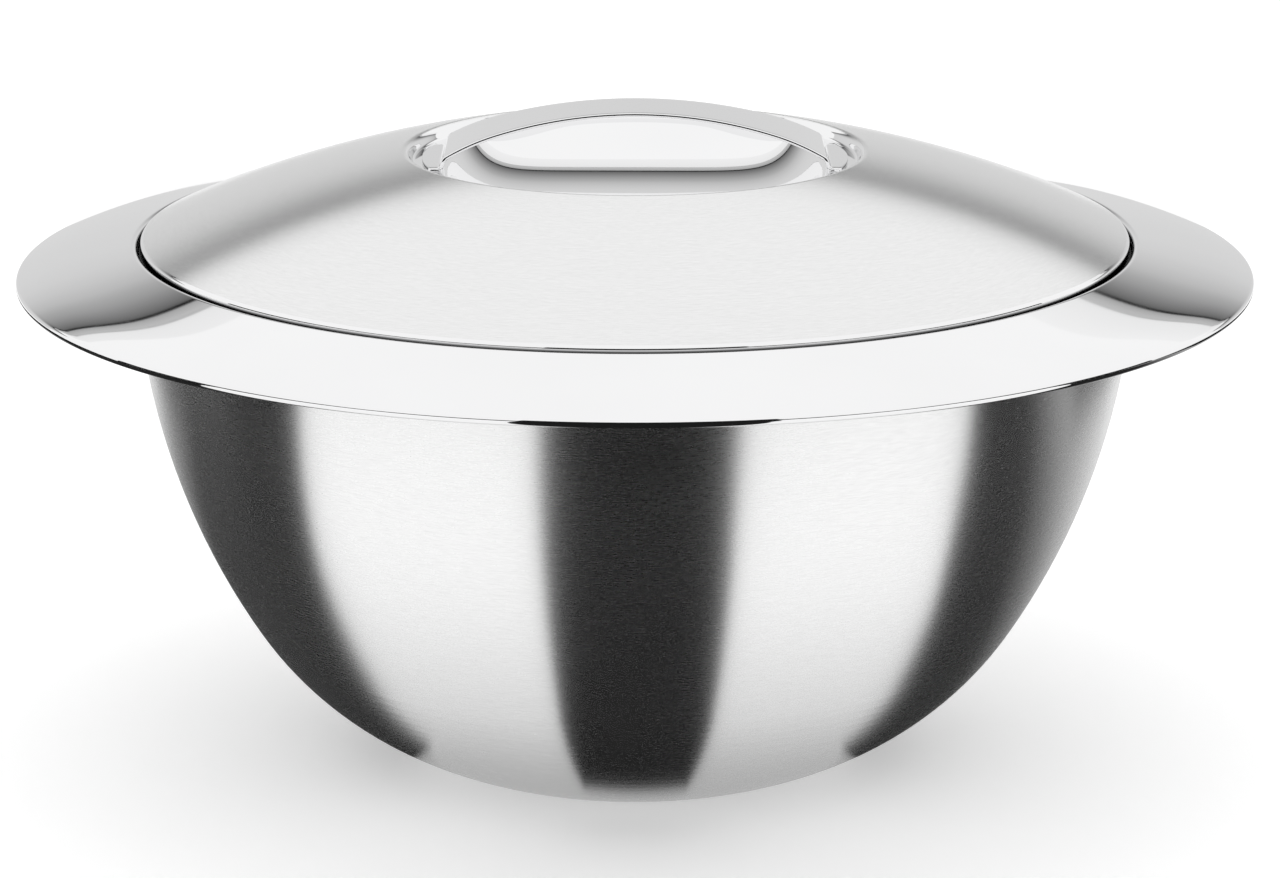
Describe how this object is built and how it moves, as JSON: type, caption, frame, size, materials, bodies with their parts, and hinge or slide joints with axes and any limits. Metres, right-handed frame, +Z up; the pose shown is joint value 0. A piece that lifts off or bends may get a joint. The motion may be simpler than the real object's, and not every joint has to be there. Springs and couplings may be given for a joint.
{
  "type": "insulated serving bowl with lid",
  "caption": "Double-walled stainless serving bowl with a wide polished brim and a nested domed lid, lifted by a strap handle over an oval finger well.",
  "frame": {"origin": "on the table, under the middle of the bowl", "axes": "+Z up along the bowl's axis; X along the strap handle"},
  "size_m": [0.32, 0.3198, 0.1724],
  "materials": {
    "satin_steel": "satin, brushed round the bowl",
    "polished_steel": "mirror polished",
    "base_steel": "satin",
    "lid_steel": "satin dome, polished recess",
    "liner_steel": "satin",
    "handle_steel": "mirror polished",
    "foam": "moulded foam"
  },
  "bodies": {
    "bowl": {"outer_bowl": "satin_steel", "bowl_insulation": "foam", "inner_bowl": "polished_steel", "base_disc": "base_steel"},
    "lid": {"lid_cover": "lid_steel", "lid_insulation": "foam", "lid_liner": "liner_steel", "lid_handle": "handle_steel"}
  },
  "joints": [
    {"name": "lid_lift", "type": "slide", "parent": "bowl", "child": "lid", "axis": [0, 0, 1], "range_m": [0, 0.08]}
  ]
}
